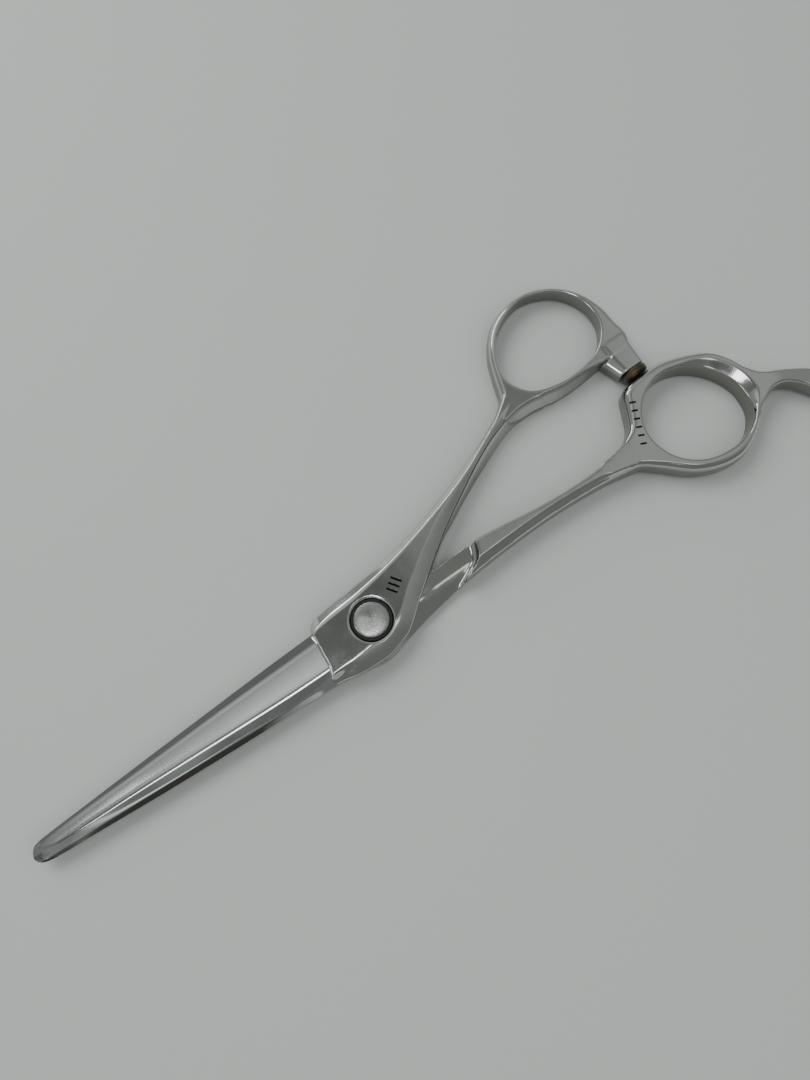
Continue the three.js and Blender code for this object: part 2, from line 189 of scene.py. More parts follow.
# plan lines of the two halves, (x, y); low and high are the sides towards -Y and +Y
thumb_low = along([(-46, -21.2), (-40.5, -18), (-30.4, -13.9), (-20.3, -10.6), (-10.2, -8.3),
                   (0, -7.1), (7, -6.5), (9.6, -5.2), (HEEL_X, -4.1)])
thumb_chamfer = along([(-46, -20.9), (-42, -18.3), (-38, -16.2), (-30, -12.5), (-20, -9.4),
                       (-10, -6.9), (0, -5.2), (9, -4.4), (HEEL_X, -3.6)])
thumb_flat = along([(-46, -19.4), (-28, -11.6), (-20, -8.1), (-10, -1.9), (-4, 2.3), (4.2, 3.8),
                    (HEEL_X, 4.2)])
thumb_high = along([(-66, -15.45), (-61.8, -15.75), (-57, -15.8), (-52.6, -16.5), (-50, -17.0),
                    (-46, -17.0), (-40, -15.4), (-30, -10.8), (-20, -5.3), (-10, 1.5), (-5, 5.3),
                    (-2.1, 6.4), (1, 7.1), (4.2, 7.05), (7.3, 6.75), (HEEL_X, 6.0), (13.4, 5.75)])
thumb_foot = along([(-66, -15.4), (-59.6, -15.0), (-54.7, -15.15), (-50, -15.9), (-46.8, -16.0),
                    (-43.8, -15.6), (-39.8, -14.3), (-33.5, -11.6), (-27.8, -8.8), (-23, -6.2),
                    (-20, -4.8), (-10, 1.5)])
blade_edge = along([(8, -4.45), (20, -4.15), (40, -3.4), (60, -2.55), (68.2, -2.15),
                    (69.5, -1.95), (70.2, -1.6), (70.8, -0.85), (TIP_X, -0.3)])
blade_band = along([(8, -2.3), (30, -2.2), (40, -1.95), (50, -1.75), (60, -1.6), (67, -1.2),
                    (70, -0.6), (TIP_X, -0.1)])
blade_ridge = along([(8, 2.75), (20, 2.25), (30, 1.75), (40, 1.15), (50, 0.65), (60, 0.35),
                     (66, 0.25), (TIP_X, 0.05)])
blade_shoulder = along([(8, 4.35), (14, 4.65), (20, 4.65), (25, 4.3), (30, 3.9), (40, 3.3),
                        (60, 1.8), (68, 1.2), (70, 0.8), (TIP_X, 0.15)])
blade_spine = along([(8, 6.6), (10.2, 6.1), (15, 5.65), (20, 5.4), (30, 4.85), (40, 4.2),
                     (50, 3.45), (60, 2.6), (66, 2.15), (69, 1.75), (70, 1.4), (70.6, 0.95),
                     (TIP_X, 0.3)])
finger_low = along([(-57, 0.7), (-50, 1.3), (-40, 0.9), (-30, -0.45), (-24.4, -1.2), (-20, -1.5),
                    (-15.2, -1.35), (-12, -1.9), (-8, -3.9), (1, -6.0), (9, -4.9), (13, -3.7)])
finger_high = along([(-57, 5.2), (-50, 4.1), (-40, 3.4), (-30, 3.4), (-20, 3.9), (-10, 5.2),
                     (-3, 6.6), (1, 7.5), (5, 6.9), (13, 5.5)])
finger_crease = along([(-57, 4.2), (-50, 2.8), (-40, 2.0), (-30, 1.9), (-20, 2.1), (-12, 2.1)])
tooth_root = along([(20, 0.2), (40, 0.0), (68, -0.3)])

# heights along X
thumb_bottom = along([(-46, SHANK_BOTTOM_Z), (-34, SHANK_BOTTOM_Z + 0.6), (-20, RIDE_Z - 0.4),
                      (-17, BLADE_FLOOR_Z), (-12, BLADE_FLOOR_Z), (HEEL_X, BLADE_FLOOR_Z)])
thumb_top = along([(-50, THUMB_RING_Z), (-44, THUMB_RING_Z + 0.1), (-30, BLOCK_Z - 0.2),
                   (-14, BLOCK_Z), (HEEL_X, BLOCK_Z)])
ridge_z = along([(8, 5.0), (40, 4.55), (66, 4.0), (TIP_X, 3.6)])
lower_back = along([(8, PIVOT_BOTTOM_Z), (40, 1.0), (66, 1.6), (TIP_X, 2.2)])

THUMB_RIM = loop([(-43.6, -19.2), (-45.2, -21.3), (-46.8, -25.5), (-49, -30.3), (-52.6, -34.4),
                  (-57.2, -36.5), (-62.8, -36.8), (-68, -34.6), (-71.8, -30.6), (-73.7, -25.5),
                  (-73.9, -21), (-73.7, -18), (-72.9, -16.1), (-70.5, -15.4), (-66, -15.4),
                  (-59.6, -15), (-54.7, -15.1), (-50.4, -16.1), (-46, -16.3), (-43.6, -16.8)])
THUMB_HOLE = loop([(-71.3, -25.8), (-70.3, -21.8), (-67.2, -18.6), (-61.5, -16.9), (-55.5, -17.2),
                   (-50.8, -19.1), (-48.3, -23.8), (-49.8, -28.9), (-54, -33.2), (-60.8, -35.6),
                   (-66.9, -33.7), (-70.2, -30.2)])
FINGER_RIM = loop([(-52.5, 3.6), (-55, 4.4), (-58.4, 5.7), (-61.4, 8.1), (-66.3, 12.5),
                   (-71.4, 14.8), (-76.5, 15.1), (-81.6, 12.9), (-85.4, 10), (-88.6, 8.1),
                   (-91.4, 8.2), (-93.8, 9.8), (-95.9, 12.6), (-98.2, 16.6), (-100.6, 19.3),
                   (-102.8, 19.6), (-103.6, 17.6), (-101.9, 13), (-98.3, 9.1), (-94, 6.4),
                   (-89.5, 4.0), (-87.5, 1.4), (-86.3, -1.4), (-84.2, -4.5), (-81.2, -6.9),
                   (-77.8, -8.3), (-74.2, -9.2), (-68.4, -9.1), (-65, -8.2), (-63.2, -5.2),
                   (-61.2, -1.7), (-58.6, 0), (-55, 1.1), (-52.5, 1.5)])
FINGER_HOLE = loop([(-63.4, 2.6), (-64.5, -1.5), (-67.6, -5), (-72.4, -6.75), (-77.6, -5.7),
                    (-82, -2.1), (-84.35, 3), (-83.7, 8.4), (-80.2, 11.9), (-74.6, 12.8),
                    (-68.9, 11.4), (-64.9, 7.7)])
# front wall of the thumb half's block, from the thumb side round to the spine side
HEEL_LINE = [(7.4, -6.65), (8.75, -6.3), (9.65, -5.8), (10.2, -5.0), (10.3, -4.0), (10.25, -2.9),
             (10.4, -1.5), (10.55, 0), (10.65, 1.5), (10.8, 2.9), (11.1, 3.7), (11.6, 4.45),
             (12.3, 5.1), (THUMB_END_X, 5.6)]
# edge of the riding surface, from the thumb side round to the outer side
RIDE_EDGE = [(-24.2, -1.6), (-23.9, -0.3), (-23.4, 1.0), (-22.6, 2.05), (-21.4, 2.75),
             (-19.8, 3.35), (-17.6, 4.3)]


# ---- distance fields: negative inside, and scaled on sloping faces to stay near true distance ----
FAR_INSIDE = -9


def smax(a, b, r):
    """Larger of two fields, with the edge between them rounded over about r."""
    h = np.maximum(r - np.abs(a - b), 0) / r
    return np.maximum(a, b) + h * h * r / 4


def smin(a, b, r):
    """Smaller of two fields, with the corner between them filled over about r."""
    return -smax(-a, -b, r)


def rounded(p, q, a, b):
    """Meeting of two walls p and q, with an elliptical edge a deep along p and b deep along q."""
    corner = np.hypot(np.maximum(p / a + 1, 0), np.maximum(q / b + 1, 0)) - 1
    return np.where((p > -a) & (q > -b), corner * np.minimum(a, b), np.maximum(p, q))


def plan_distance(outline, x, y):
    """Signed distance in plan to a closed outline."""
    best = np.full(x.shape, 1e9)
    inside = np.zeros(x.shape, bool)
    for (ax, ay), (bx, by) in zip(outline, np.roll(outline, -1, axis=0)):
        ex, ey = bx - ax, by - ay
        t = np.clip(((x - ax) * ex + (y - ay) * ey) / (ex * ex + ey * ey), 0, 1)
        best = np.minimum(best, (x - ax - t * ex) ** 2 + (y - ay - t * ey) ** 2)
        if ay != by:
            crosses = ((ay > y) != (by > y)) & (x < ax + (y - ay) * ex / ey)
            inside ^= crosses
    return np.where(inside, -1, 1) * np.sqrt(best)


class Grid:
    """Box of voxels. x and y broadcast to a plan, and x3, y3 and z to the whole box."""

    def __init__(self, low, high, step, step_z=None):
        self.step = np.array([step, step, step_z or step])
        margin = 2.5 * self.step
        self.low = np.array(low, float) - margin
        counts = np.ceil((np.array(high) + margin - self.low) / self.step).astype(int) + 1
        axes = [self.low[i] + self.step[i] * np.arange(counts[i]) for i in range(3)]
        self.x = axes[0][:, None]
        self.y = axes[1][None, :]
        self.x3 = self.x[:, :, None]
        self.y3 = self.y[:, :, None]
        self.z = axes[2][None, None, :]
        self.flat_x, self.flat_y = np.broadcast_arrays(self.x, self.y)

    def plan(self, outline):
        """Signed distance in plan to a closed outline, the same at every height."""
        return plan_distance(outline, self.flat_x, self.flat_y)[:, :, None]

    def radius(self):
        """Distance from the pivot axis."""
        return np.hypot(self.flat_x, self.flat_y)[:, :, None]


CORNERS = np.array([(i, j, k) for i in (0, 1) for j in (0, 1) for k in (0, 1)])
CELL_EDGES = [(a, b) for a in range(8) for b in range(a + 1, 8)
              if np.abs(CORNERS[a] - CORNERS[b]).sum() == 1]


def surface_net(grid, field):
    """Quads on the zero surface of a field, with a normal at each corner from the field's slope."""
    inside = field < 0
    n = [s - 1 for s in field.shape]
    count = sum(inside[i:i + n[0], j:j + n[1], k:k + n[2]].astype(np.int8) for i, j, k in CORNERS)
    active = (count > 0) & (count < 8)
    number = np.full(active.shape, -1)
    number[active] = np.arange(active.sum())
    cell = np.argwhere(active)
    total = np.zeros((len(cell), 3))
    hits = np.zeros(len(cell))
    for a, b in CELL_EDGES:
        fa = field[tuple((cell + CORNERS[a]).T)]
        fb = field[tuple((cell + CORNERS[b]).T)]
        cross = (fa < 0) != (fb < 0)
        t = np.where(cross, fa / np.where(cross, fa - fb, 1), 0)[:, None]
        total += np.where(cross[:, None], CORNERS[a] + t * (CORNERS[b] - CORNERS[a]), 0)
        hits += cross
    at = cell + total / hits[:, None]
    quads = []
    for axis in range(3):
        u, v = (axis + 1) % 3, (axis + 2) % 3
        here = [slice(1, m) for m in n]
        ahead = list(here)
        here[axis], ahead[axis] = slice(0, n[axis]), slice(1, n[axis] + 1)
        change = inside[tuple(here)] != inside[tuple(ahead)]
        start = np.argwhere(change) + [0 if i == axis else 1 for i in range(3)]
        out = inside[tuple(start.T)]
        ring = []
        for du, dv in ((-1, -1), (0, -1), (0, 0), (-1, 0)):
            offset = np.zeros(3, int)
            offset[u], offset[v] = du, dv
            ring.append(number[tuple((start + offset).T)])
        quad = np.stack(ring, 1)
        quad[~out] = quad[~out][:, ::-1]
        quads.append(quad)
    normal = np.stack([sample(slope, at) for slope in np.gradient(field, *grid.step)], 1)
    normal /= np.maximum(np.linalg.norm(normal, axis=1), 1e-9)[:, None]
    return grid.low + at * grid.step, np.concatenate(quads), normal


def sample(values, at):
    """Trilinear value of a voxel array at fractional indices."""
    base = np.minimum(at.astype(int), np.array(values.shape) - 2)
    f = at - base
    total = 0
    for corner in CORNERS:
        weight = np.prod(np.where(corner, f, 1 - f), axis=1)
        total = total + weight * values[tuple((base + corner).T)]
    return total


# ---- meshes ----
def make_mesh(name, verts, faces, body, material, normals=None, sharp_deg=None):
    """Adds a piece that rides on a body. verts are in millimetres."""
    mesh = bpy.data.meshes.new(name)
    mesh.from_pydata((np.asarray(verts) * MM).tolist(), [], [list(map(int, f)) for f in faces])
    mesh.validate()
    mesh.shade_smooth()
    if normals is not None:
        mesh.normals_split_custom_set_from_vertices(normals.tolist())
    if sharp_deg:
        mesh.set_sharp_from_angle(angle=math.radians(sharp_deg))
    mesh.materials.append(material)
    piece = bpy.data.objects.new(name, mesh)
    bpy.context.scene.collection.objects.link(piece)
    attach(piece, body)
    return piece


def carve(name, grid, field, body, material):
    """Adds the surface of a field as a forged piece."""
    verts, quads, normals = surface_net(grid, field)
    return make_mesh(name, verts, quads, body, material, normals)


def ring_faces(rows, count):
    """Quads between successive closed rings of points."""
    faces = []
    for low in range(0, (rows - 1) * count, count):
        high = low + count
        for j in range(count):
            k = (j + 1) % count
            faces.append((low + j, high + j, high + k, low + k))
    return faces


# ---- blade surface ----
def blade_top(x, y):
    """Height of the plain blade's top: flat edge band, hollow face, ridge and spine bevel."""
    edge, band, ridge = blade_edge(x), blade_band(x), blade_ridge(x)
    shoulder, spine, crest = blade_shoulder(x), blade_spine(x), ridge_z(x)
    edge_z = BLADE_FLOOR_Z + EDGE_THICKNESS
    band_z = edge_z + BAND_SLOPE * (band - edge)
    flat = edge_z + BAND_SLOPE * (y - edge)
    rise = (crest - band_z) / (ridge - band)
    t = (y - band) / (ridge - band)
    face = band_z + rise * (y - band) - HOLLOW_GRIND * (crest - band_z) * t * (1 - t)
    front = smax(flat, face, 0.3)
    down = crest - SHOULDER_DROP * (y - ridge) / (shoulder - ridge)
    steep = (crest - SHOULDER_DROP - SPINE_THICKNESS - BLADE_FLOOR_Z) / (spine - shoulder)
    back = crest - SHOULDER_DROP - steep * (y - shoulder)
    return smin(smin(front, down, RIDGE_ROUND), back, 0.18)


# ---- thumb half ----
def thumb_lines(x):
    """Plan lines of the thumb half in order of rising y, kept apart where they would cross."""
    chamfer = thumb_chamfer(x)
    flat = np.maximum(thumb_flat(x), chamfer + 0.1)
    return thumb_low(x), chamfer, flat, np.maximum(thumb_high(x), flat + 0.1)


def thumb_upper(g):
    """Top of the block and shank: chamfer, flat, and a falling band that joins the blade."""
    low, chamfer, flat, high = thumb_lines(g.x)
    top = thumb_top(g.x)
    chamfer_z = top - (chamfer - g.y) * CHAMFER_DROP / np.maximum(chamfer - low, 0.3)
    u = np.clip((g.y - flat) / (high - flat), 0, 1.4)
    fall = 1.15 + 0.45 * smoothstep(g.x, 5, 12) - 0.75 * smoothstep(g.x, -39, -46)
    band_z = top - fall * (0.45 * u + 0.55 * u * u)
    merge = smoothstep(g.x, 6.5, 12.6) * smoothstep(u, 0, 0.45)
    under_blade = np.minimum(blade_top(g.x, g.y) - HEEL_COVER, band_z)
    band_z = band_z + merge * (under_blade - band_z)
    return smin(smin(top, chamfer_z, 0.3), band_z, 0.12)[:, :, None]


def thumb_wall(g):
    """Outer wall of the shank, which leans out below a crease."""
    high = thumb_lines(g.x)[3]
    lean = (thumb_foot(g.x) - high)[:, :, None]
    crease_z = (thumb_top(g.x) - CREASE_DROP)[:, :, None]
    climb = np.clip((g.z - WALL_FOOT_Z) / (crease_z - WALL_FOOT_Z), 0, 1.2)
    wall = (g.y3 - high[:, :, None] - lean * (1 - climb)) * 0.87
    return np.where((g.x3 > WALL_X[0]) & (g.x3 < WALL_X[1]), wall, FAR_INSIDE)


def thumb_ring(g, wall):
    """Thumb ring, and its bore by itself close to the hole."""
    flush = smoothstep(g.y3, -22, -17)
    above, below = g.z - THUMB_RING_Z, -g.z
    rim, hole = np.maximum(g.plan(THUMB_RIM), wall), -g.plan(THUMB_HOLE)
    bore = np.maximum(rounded(hole, above, 0.28, 0.4), rounded(hole, below, 0.7, 1.1))
    shell = np.maximum(rounded(rim, above, 1.4 - 0.9 * flush, 2.1 - 1.5 * flush),
                       rounded(rim, below, 0.7 - 0.4 * flush, 1.3 - 0.9 * flush))
    return np.maximum(shell, bore), np.where(hole > -0.6, bore, FAR_INSIDE)


def bumper_boss(g):
    """Stem of the bumper: a cone on one side, and a flat with a rounded top on the other."""
    away = BOSS_END_Y - g.y3
    near = np.clip(away, 0, BOSS_TAPER_LENGTH)
    from_axis = g.x3 - BOSS_X - 0.1 * near
    round_side = np.hypot(np.maximum(from_axis, 0), g.z - BOSS_Z + 0.24 * near)
    round_side = round_side - BOSS_R - BOSS_SWELL * near
    flat_side = PAD_X - BOSS_FLAT - 0.08 * np.clip(away, 0, BOSS_LENGTH) - g.x3
    boss = smax(round_side, rounded(flat_side, g.z - BOSS_TOP_Z + 0.02 * away, 0.8, 1.1), 0.12)
    boss = smax(boss, -away, 0.3)
    return smax(smax(boss, away - BOSS_LENGTH, 0.3), -g.z, 0.8)


def blade_heel(g):
    """Root of the plain blade at the block, just under the loft that covers it further on."""
    slab = np.maximum(blade_edge(g.x) + 0.15 - g.y, g.y - blade_spine(g.x) + 0.15)
    slab = np.maximum(slab, g.x - THUMB_END_X - 0.2)[:, :, None]
    slab = np.maximum(slab, (g.z - blade_top(g.x, g.y)[:, :, None] + HEEL_COVER) * 0.94)
    return np.maximum(slab, np.maximum(BLADE_FLOOR_Z + 0.03 - g.z, 9.6 - g.x3))


def thumb_body_field(g):
    """Block, shank, ring and bumper stem in one, with the seats and holes cut into them."""
    low_side = [(x, float(thumb_low(x))) for x in np.linspace(-52, 7, 60)]
    high_side = [(x, float(thumb_high(x) if x > WALL_X[1] else thumb_foot(x)))
                 for x in np.linspace(THUMB_END_X, -52, 80)]
    side = g.plan(np.array(low_side + HEEL_LINE + high_side))
    upper, wall = thumb_upper(g), thumb_wall(g)
    bottom = thumb_bottom(g.x)[:, :, None] - g.z
    shank = rounded(np.maximum(side, wall), (g.z - upper) * 0.9, 0.25, 0.25)
    shank = smax(shank, bottom, 0.25)

    ring, bore = thumb_ring(g, wall)
    body = smin(shank, ring, 0.7)
    body = np.maximum(body, (g.z - np.maximum(upper, THUMB_RING_Z)) * 0.9)
    body = smin(body, bumper_boss(g), 0.3)
    body = np.maximum(body, bore)
    body = smin(body, blade_heel(g), 0.04 + HEEL_FILLET * smoothstep(g.y3, 4.4, 3.3))
    body = np.where(g.x3 > 5, np.maximum(body, (g.z - upper) * 0.9), body)
    body = np.maximum(body, bottom)

    radius = g.radius()
    seat_r = CUP_R + RUN + np.maximum(g.z - BLOCK_Z + 0.35, 0)
    body = np.maximum(body, -np.maximum(radius - seat_r, COUNTERBORE_Z - g.z))
    body = np.maximum(body, BUSH_R + RUN - radius)
    stud = np.hypot(g.x3 - PAD_X, g.z - PAD_Z) - STUD_R
    return np.maximum(body, -np.maximum(stud, STUD_LOW[1] - 0.2 - g.y3))


def plain_blade(material):
    """Loft from the heel to the tip over the blade surface, with a slightly hollow underside."""
    near_tip = 5.0 * (1 - np.sin(np.linspace(0.03, 1, 26) * math.pi / 2))
    xs = np.concatenate([np.linspace(9.0, 65.6, 142), TIP_X - near_tip])
    rings = []
    for x in xs:
        edge, ridge, spine = float(blade_edge(x)), float(blade_ridge(x)), float(blade_spine(x))
        front = max(ridge - 1.1, edge + 0.6 * (ridge - edge))
        back = min(ridge + 1.0, ridge + 0.5 * (spine - ridge))
        ys = np.concatenate([np.linspace(edge, front, 22)[:-1], np.linspace(front, back, 24)[:-1],
                             np.linspace(back, spine, 14)])
        zs = np.maximum(blade_top(x, ys), BLADE_FLOOR_Z + 0.08)
        t = np.linspace(0, 1, 12)
        under_y = spine + (edge - spine) * t
        hollow = UNDER_HOLLOW * np.minimum(1, 8 * t * (1 - t)) * smoothstep(x, 14, 20)
        ring = [(x, y, z) for y, z in zip(ys, zs)]
        ring += [(x, y, BLADE_FLOOR_Z + h) for y, h in zip(under_y, hollow)]
        rings.append(np.array(ring))
    count = len(rings[0])
    faces = ring_faces(len(rings), count)
    faces.append(tuple(range(count - 1, -1, -1)))
    faces.append(tuple((len(rings) - 1) * count + j for j in range(count)))
    faces = [f[::-1] for f in faces]
    return make_mesh("plain_blade", np.concatenate(rings), faces, "thumb_side",
                     material, sharp_deg=24)


# ---- finger half ----
def finger_shank(g):
    """Shank and pivot body, with the step down to the riding surface."""
    xs = np.linspace(-58, FINGER_END_X, 90)
    outline = ([(x, float(finger_low(x))) for x in xs]
               + [(x, float(finger_high(x))) for x in xs[::-1]])
    side = g.plan(np.array(outline))
    crease = np.minimum(finger_crease(g.x), finger_high(g.x) - 0.4)
    top = FINGER_RING_Z - 0.1 * smoothstep(g.x, -54, -44)
    slope = 1.5 / (finger_high(g.x) - crease)
    upper = smin(top, top - (g.y - crease) * slope, 0.2)[:, :, None]
    bottom = SHANK_BOTTOM_Z + (PIVOT_BOTTOM_Z - SHANK_BOTTOM_Z) * smoothstep(g.x3, -40, -10)
    shank = rounded(side, (g.z - upper) * 0.85, 0.3, 0.4)
    shank = smax(shank, rounded(side, bottom - g.z, 0.7, 0.9), 0.1)

    area = g.plan(np.array([(-23.8, -8)] + RIDE_EDGE + [(-14, 12), (20, 12), (20, -8)]))
    outer_fall = smax(0, 0.4 * (g.y - 1.88), 0.3) * smoothstep(g.x, 4, -6)
    step_fall = 0.1 * np.clip(g.y + 1.5, 0, 3.4) * smoothstep(g.x, -9, -14)
    ride = RIDE_TOP_Z - outer_fall - step_fall
    keep = smin(-area, g.z - ride[:, :, None], 1.3)
    return smax(shank, keep, 0.12)


def finger_ring(g):
    """Finger ring with its finger rest, and its bore by itself."""
    half = FINGER_RING_Z / 2
    tall = half - (half - REST_TIP_HALF) * smoothstep(g.x3, -90, -104)
    above, below = g.z - half - tall, half - tall - g.z
    rim, hole = g.plan(FINGER_RIM), -g.plan(FINGER_HOLE)
    reach = -0.97 * (g.x3 + 74) - 0.2 * (g.y3 - 3)
    wide = 0.3 + 1.9 * smoothstep(reach, 4, 12) * smoothstep(g.y3, 12, 5)
    deep = 0.35 + 0.55 * smoothstep(reach, 3.5, 8.5)
    facet = (hole / wide + above / deep + 1) / np.hypot(1 / wide, 1 / deep)
    bore = np.maximum(smax(np.maximum(hole, above), facet, 0.2), rounded(hole, below, 0.4, 0.5))
    web = smoothstep(g.x3, -65, -57)
    low_side = web * smoothstep(g.y3, 3.5, 0.5)
    thin = smoothstep(reach, 8, 12)
    shell = np.maximum(rounded(rim, above, 1.45 - 0.4 * web - 0.75 * low_side - 0.9 * thin,
                               2.3 - 0.7 * web - 1.2 * low_side - 1.6 * thin),
                       rounded(rim, below, 1.2, 1.8))
    return np.maximum(shell, bore), bore


def finger_body_field(g):
    """Pivot body, shank, ring and rest in one, with the bush, thread and nut cut into them."""
    ring, bore = finger_ring(g)
    body = np.maximum(smin(finger_shank(g), ring, 1.0), (g.z - FINGER_RING_Z) * 0.85)
    body = np.maximum(body, bore)
    radius = g.radius()
    body = np.maximum(body, -np.maximum(radius - BUSH_R - RUN, BUSH_BOTTOM_Z - g.z))
    body = np.maximum(body, THREAD_R + RUN - radius)
    return np.maximum(body, -np.maximum(radius - NUT_R - RUN, g.z - NUT_Z - 0.08))


def toothed_field(g):
    """Lower blade with slots between its teeth; its heel lies inside the pivot body."""
    spine = blade_spine(g.x)
    tip = spine - 0.45
    low = np.minimum(blade_edge(g.x) + 0.45, spine - 0.6)
    heel = smoothstep(g.x, 17, 22)
    high = (1 - heel) * finger_high(np.minimum(g.x, FINGER_END_X)) + heel * tip
    side = smax(np.maximum(low - g.y, g.y - high), g.x - TIP_X + 0.9, 1.6)
    middle = (low + high) / 2
    bow = 0.55 * np.abs(g.y - middle) / np.maximum((high - low) / 2, 0.3) ** 0.5
    under = lower_back(g.x) + bow
    bar = smax(side[:, :, None], g.z - RIDE_TOP_Z, 0.08)
    bar = smax(bar, (under[:, :, None] - g.z) * 0.85, 0.2)

    first_x = FIRST_TOOTH_X + TOOTH_PITCH / 2
    number = np.clip(np.round((g.x - first_x) / TOOTH_PITCH), 0, SLOTS - 1)
    slot_x = number * TOOTH_PITCH + first_x
    half = (TOOTH_PITCH - TOOTH_WIDTH) / 2
    root = tooth_root(slot_x) + half
    slot = np.hypot(g.x - slot_x, np.minimum(g.y - root, 0)) - half
    bar = smax(bar, -slot[:, :, None], 0.08)

    number = np.clip(np.round((g.x - FIRST_TOOTH_X) / TOOTH_PITCH), 0, SLOTS)
    off_tooth = np.abs(g.x - number * TOOTH_PITCH - FIRST_TOOTH_X)
    notch = (tip - TOOTH_NOTCH + 1.3 * off_tooth - g.y) * 0.6
    notch = np.where(off_tooth < TOOTH_WIDTH / 2, notch, 1)
    inside_body = smoothstep(g.x3, FINGER_END_X + 0.1, FINGER_END_X - 0.3)
    return np.maximum(bar, -notch[:, :, None]) + TOOTH_HEEL_COVER * inside_body


# ---- turned pieces ----
LATHE_SEGMENTS = 96


def lathe(name, profile, body, material, centre=(0, 0, 0), about="z", sharp_deg=30):
    """Turns an open profile of (radius, height) points that starts and ends on the axis,
    or a closed outline away from it, about an upright axis or about Y."""
    on_axis = profile[0][0] == 0
    inner = profile[1:-1] if on_axis else profile
    angles = np.linspace(0, 2 * math.pi, LATHE_SEGMENTS, endpoint=False)
    verts = [(r * math.cos(a), r * math.sin(a), h) for r, h in inner for a in angles]
    faces = ring_faces(len(inner), LATHE_SEGMENTS)
    last = (len(inner) - 1) * LATHE_SEGMENTS
    if on_axis:
        verts += [(0, 0, profile[0][1]), (0, 0, profile[-1][1])]
    for j in range(LATHE_SEGMENTS):
        k = (j + 1) % LATHE_SEGMENTS
        if on_axis:
            faces.append((len(verts) - 2, j, k))
            faces.append((len(verts) - 1, last + k, last + j))
        else:
            faces.append((last + j, j, k, last + k))
    verts = np.array(verts, float)
    if about == "y":
        verts = verts[:, [1, 2, 0]]
    verts = verts + np.array(centre, float)
    piece = make_mesh(name, verts, faces, body, material, sharp_deg=sharp_deg)
    fix_outward(piece)
    return piece


def fix_outward(piece):
    """Turns a closed mesh inside out if its faces point inwards."""
    mesh = piece.data
    volume = 0
    for polygon in mesh.polygons:
        corners = [mesh.vertices[i].co for i in polygon.vertices]
        for b, c in zip(corners[1:], corners[2:]):
            volume += corners[0].dot(b.cross(c))
    if volume < 0:
        mesh.flip_normals()
        mesh.update()


# ---- materials ----
class Nodes:
    """Short way to write a node tree for one Principled material."""

    def __init__(self, name, color, metallic, roughness):
        self.material = bpy.data.materials.new(name)
        self.material.use_nodes = True
        self.tree = self.material.node_tree
        self.shader = self.tree.nodes["Principled BSDF"]
        self.shader.inputs["Base Color"].default_value = (*color, 1)
        self.shader.inputs["Metallic"].default_value = metallic
        self.shader.inputs["Roughness"].default_value = roughness
        self.coords = self.tree.nodes.new("ShaderNodeTexCoord").outputs["Object"]

    def node(self, kind, **settings):
        made = self.tree.nodes.new(kind)
        for key, value in settings.items():
            if key in made.inputs:
                made.inputs[key].default_value = value
            else:
                setattr(made, key, value)
        return made

    def link(self, a, b):
        self.tree.links.new(a, b)

    def scaled(self, sx, sy, sz, turn_z=0):
        """Object coordinates in millimetres, stretched."""
        made = self.node("ShaderNodeMapping")
        made.inputs["Scale"].default_value = (sx / MM, sy / MM, sz / MM)
        made.inputs["Rotation"].default_value = (0, 0, turn_z)
        self.link(self.coords, made.inputs["Vector"])
        return made.outputs[0]

    def noise(self, vector, scale, detail=4, roughness=0.55):
        made = self.node("ShaderNodeTexNoise", Scale=scale, Detail=detail, Roughness=roughness)
        self.link(vector, made.inputs["Vector"])
        return made.outputs["Fac"]

    def ramp(self, value, low, high, out_low, out_high):
        made = self.node("ShaderNodeMapRange")
        made.inputs["From Min"].default_value = low
        made.inputs["From Max"].default_value = high
        made.inputs["To Min"].default_value = out_low
        made.inputs["To Max"].default_value = out_high
        self.link(value, made.inputs["Value"])
        return made.outputs["Result"]

    def xyz(self, vector):
        made = self.node("ShaderNodeSeparateXYZ")
        self.link(vector, made.inputs[0])
        return made.outputs

    def blend(self, factor, a, b):
        """Colour a where factor is 0 and b where it is 1. Each is a fixed colour or a socket."""
        made = self.node("ShaderNodeMix", data_type="RGBA")
        for socket, color in ((made.inputs[6], a), (made.inputs[7], b)):
            if isinstance(color, tuple):
                socket.default_value = (*color, 1)
            else:
                self.link(color, socket)
        self.link(factor, made.inputs[0])
        return made.outputs[2]

    def math(self, operation, *values):
        made = self.node("ShaderNodeMath", operation=operation)
        for socket, value in zip(made.inputs, values):
            if isinstance(value, (int, float)):
                socket.default_value = value
            else:
                self.link(value, socket)
        return made.outputs[0]

    def bump(self, height, strength, distance_mm, under=None):
        made = self.node("ShaderNodeBump")
        made.inputs["Strength"].default_value = strength
        made.inputs["Distance"].default_value = distance_mm * MM
        self.link(height, made.inputs["Height"])
        if under is not None:
            self.link(under, made.inputs["Normal"])
        return made.outputs["Normal"]

    def set(self, socket, value):
        self.link(value, self.shader.inputs[socket])


def level_faces(m, steep, level):
    """1 on faces that lie nearly level, falling to 0 on steep walls."""
    normal = m.xyz(m.node("ShaderNodeNewGeometry").outputs["Normal"])
    return m.ramp(m.math("ABSOLUTE", normal["Z"]), steep, level, 0, 1)


